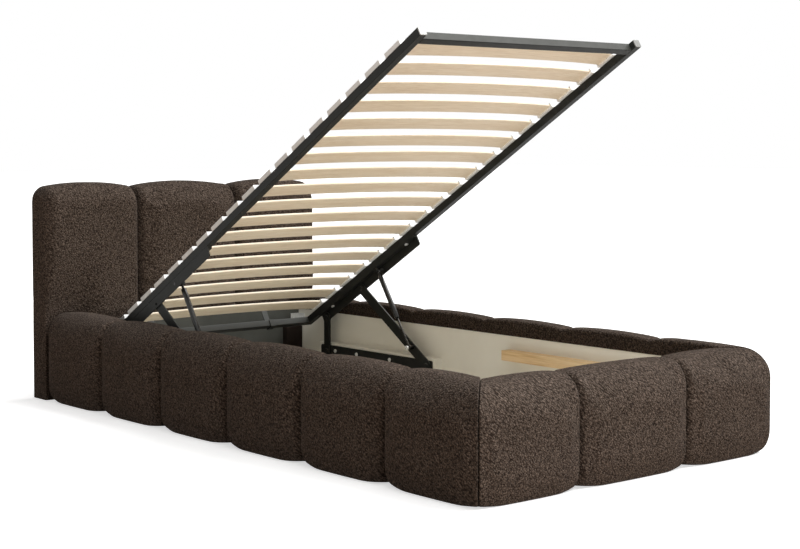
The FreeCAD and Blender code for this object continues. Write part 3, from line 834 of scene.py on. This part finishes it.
def turned_head(name, size, place, facing, look, body):
    """Screw head with a rounded rim and a six-sided socket, standing on a surface."""
    radius, height = size
    rim = RIM_SHARE * height
    rows = [(radius, 0.0, False), (radius, height - rim, False)]
    for turn in RIM_TURNS:
        angle = math.radians(turn)
        reach = radius - rim * (1 - math.cos(angle))
        rows.append((reach, height - rim + rim * math.sin(angle), False))
    socket = SOCKET_WIDTH * radius
    rows += [(socket, height, True), (socket, SOCKET_FLOOR * height, True)]
    half_flat = math.pi / 6
    rings = []
    for reach, level, six_sided in rows:
        ring = []
        for i in range(HEAD_SEGMENTS):
            angle = 2 * math.pi * i / HEAD_SEGMENTS
            off_flat = (angle + half_flat) % (2 * half_flat) - half_flat
            r = reach * math.cos(half_flat) / math.cos(off_flat) if six_sided else reach
            ring.append((r * math.cos(angle), r * math.sin(angle), level))
        rings.append(ring)
    mesh = closed_loft(name, rings)
    facing = Vector(facing)
    turn = facing.to_track_quat("Z", "Y").to_matrix().to_4x4()
    mesh.transform(Matrix.Translation(Vector(place) + facing * HEAD_GAP) @ turn)
    smoothed(mesh, RIGID_SHARP)
    made_piece(name, mesh, look, body)


def on_frame(along, up):
    """Place on the raised lift frame, from its head end and above its underside."""
    return Vector((0, *FRAME_HEAD)) + FRAME_LEAN @ Vector((0, -along, up))


def fasteners():
    """Screws of plates and brackets, bolts of the top angles, and ends and nuts of the struts."""
    down = FRAME_LEAN @ Vector((0, 0, -1))
    for side, sign in (("right", 1), ("left", -1)):
        inboard, outboard = (-sign, 0, 0), (sign, 0, 0)
        for i, back in enumerate(PLATE_SCREWS_BACK):
            place = (sign * PLATE_X, PLATE_HEAD_Y - back, PLATE_Z)
            turned_head(f"{side}_plate_screw_{i + 1}", PLATE_SCREW, place, inboard,
                        zinc, "bed_box")
        for i, along in enumerate(ANGLE_BOLTS_ALONG):
            place = on_frame(along, ANGLE_SHELF)
            place.x = sign * ANGLE_BOLT_X
            turned_head(f"{side}_angle_bolt_{i + 1}", ANGLE_BOLT, place, down,
                        zinc, "lift_frame")
        turned_head(f"{side}_stud_end", STUD_CAP, (sign * FRAME_SIDE, *STUD_END), outboard,
                    black_plastic, "lift_frame")
        turned_head(f"{side}_strut_nut", STRUT_NUT, (sign * STRUT_NUT_X, *STRUT_FOOT), inboard,
                    zinc, "strut_rods")
        for end, y, into in (("foot", FOOT_LINING_Y, 1), ("head", HEAD_BOARD_Y, -1)):
            name = f"{side}_{end}_bracket_screw_"
            for i, back in enumerate(BRACKET_SCREWS_BACK):
                on_side = (sign * (LINING_X - BRACKET_THICK), y + into * back, BRACKET_Z)
                on_end = (sign * (LINING_X - back), y + into * BRACKET_THICK, BRACKET_Z)
                turned_head(f"{name}{2 * i + 1}", BRACKET_SCREW, on_side, inboard,
                            zinc, "bed_box")
                turned_head(f"{name}{2 * i + 2}", BRACKET_SCREW, on_end, (0, into, 0),
                            zinc, "bed_box")


def corner_posts():
    """Dark posts with chamfered edges in the two corners at the head end, under the brackets."""
    wide, deep, chamfer = POST_SIZE
    outline = [(0, 0), (0, -deep + chamfer), (chamfer, -deep),
               (wide - chamfer, -deep), (wide, -deep + chamfer), (wide, 0)]
    for side, sign in (("right", 1), ("left", -1)):
        rings = []
        for level, inset in ((POST_FROM, 0), (POST_TO - chamfer, 0), (POST_TO, chamfer)):
            ring = []
            for x, y in outline:
                x = min(max(x, inset), wide - inset)
                y = max(y, -deep + inset)
                ring.append((sign * (LINING_X - SOFT_GAP - x), HEAD_BOARD_Y - SOFT_GAP + y, level))
            rings.append(ring)
        name = side + "_corner_post"
        made_piece(name, closed_loft(name, rings), post_board, "bed_box")


dress_cad()
padded_channels()
bent_slats()
fasteners()
corner_posts()

# Camera, fitted to seams, corners, slats and tubes of the photograph
CAMERA_PLACE = (-3.3178, -4.0817, 0.9266)
CAMERA_YAW, CAMERA_PITCH = 40.249, -2.804
CAMERA_SHIFT = -0.068
FOCAL_PIXELS = 1604.7
IMAGE_WIDTH = 800
SENSOR = 36.0

camera = bpy.data.objects.new("camera", bpy.data.cameras.new("camera"))
bpy.context.scene.collection.objects.link(camera)
camera.location = CAMERA_PLACE
camera.rotation_euler = (math.radians(90 + CAMERA_PITCH), 0, math.radians(-CAMERA_YAW))
camera.data.sensor_width = SENSOR
camera.data.lens = FOCAL_PIXELS * SENSOR / IMAGE_WIDTH
camera.data.shift_y = CAMERA_SHIFT
camera.data.dof.use_dof = False
bpy.context.scene.camera = camera

# Softboxes: name, place, aim, width and height, watts
SOFTBOXES = (
    ("front", (-0.5, -4.6, 0.30), (-0.1, -1.0, 0.5), (1.6, 0.5), 58),
    ("over_box", (-0.6, -1.4, 2.6), (0.25, 0.0, 0.15), (1.2, 1.2), 26),
    ("low_left", (-4.6, 0.0, 0.12), (-0.6, 0.0, 0.30), (4.0, 0.2), 22),
    ("behind", (0.3, 5.0, 0.45), (0.0, 1.2, 0.40), (1.6, 0.5), 45),
)
SUN_STRENGTH = 3.4
SUN_ANGLE = math.radians(45)
SUN_TURN = (math.radians(12), math.radians(36), 0)
WORLD_COLOUR, WORLD_STRENGTH = (1, 0.93, 0.85, 1), 0.13
WHITE = (1, 1, 1, 1)
FLOOR_REACH = 40
FLOOR_SEEN, FLOOR_GLOW = (0.88, 0.88, 0.88, 1), 0.6
FLOOR_BOUNCE = (0.38, 0.275, 0.195, 1)


def background_rays(tree):
    """1 for rays that the camera, a mirror or glass sends to the background, else 0."""
    path = add(tree, "ShaderNodeLightPath")
    total = path.outputs["Is Camera Ray"]
    for name in ("Is Glossy Ray", "Is Transmission Ray"):
        node = add(tree, "ShaderNodeMath", operation="ADD", use_clamp=True)
        tree.links.new(total, node.inputs[0])
        tree.links.new(path.outputs[name], node.inputs[1])
        total = node.outputs[0]
    return total


def by_rays(tree, lighting, seen, output):
    """Gives one shader to rays that carry light, and another to those that see the background."""
    both = add(tree, "ShaderNodeMixShader")
    tree.links.new(background_rays(tree), both.inputs[0])
    tree.links.new(lighting.outputs[0], both.inputs[1])
    tree.links.new(seen.outputs[0], both.inputs[2])
    tree.links.new(both.outputs[0], tree.nodes[output].inputs[0])


def surroundings():
    """World that is seen white and lights the object softly."""
    world = bpy.data.worlds.new("studio")
    bpy.context.scene.world = world
    world.use_nodes = True
    tree = world.node_tree
    lighting = add(tree, "ShaderNodeBackground", {
        "Color": WORLD_COLOUR, "Strength": WORLD_STRENGTH})
    seen = add(tree, "ShaderNodeBackground", {"Color": WHITE, "Strength": 1.0})
    by_rays(tree, lighting, seen, "World Output")


def lamps():
    """A soft sun from above right of the foot end, and the softboxes."""
    for name, place, aim, size, power in SOFTBOXES:
        lamp = bpy.data.objects.new(name, bpy.data.lights.new(name, "AREA"))
        bpy.context.scene.collection.objects.link(lamp)
        lamp.data.shape = "RECTANGLE"
        lamp.data.size, lamp.data.size_y = size
        lamp.data.energy = power
        lamp.visible_camera = False
        lamp.location = place
        lamp.rotation_euler = (Vector(aim) - Vector(place)).to_track_quat("-Z", "Y").to_euler()
    sun = bpy.data.objects.new("sun", bpy.data.lights.new("sun", "SUN"))
    bpy.context.scene.collection.objects.link(sun)
    sun.data.energy = SUN_STRENGTH
    sun.data.angle = SUN_ANGLE
    sun.rotation_euler = SUN_TURN


def studio_floor():
    """Pale floor with a faint shadow, which throws a warm light back up."""
    mesh = bpy.data.meshes.new("studio_floor")
    square = ((-1, -1), (1, -1), (1, 1), (-1, 1))
    mesh.from_pydata([(x * FLOOR_REACH, y * FLOOR_REACH, 0) for x, y in square], [], [(0, 1, 2, 3)])
    ground = bpy.data.objects.new("studio_floor", mesh)
    bpy.context.scene.collection.objects.link(ground)
    material, tree, shader = nodes_of("studio_floor")
    tree.nodes.remove(shader)
    bounce = add(tree, "ShaderNodeBsdfDiffuse", {"Color": FLOOR_BOUNCE})
    matte = add(tree, "ShaderNodeBsdfDiffuse", {"Color": FLOOR_SEEN})
    glow = add(tree, "ShaderNodeEmission", {"Color": WHITE, "Strength": FLOOR_GLOW})
    pale = add(tree, "ShaderNodeAddShader")
    tree.links.new(matte.outputs[0], pale.inputs[0])
    tree.links.new(glow.outputs[0], pale.inputs[1])
    by_rays(tree, bounce, pale, "Material Output")
    mesh.materials.append(material)


surroundings()
lamps()
studio_floor()
bpy.context.scene.view_settings.view_transform = "Standard"

bpy.context.view_layer.update()
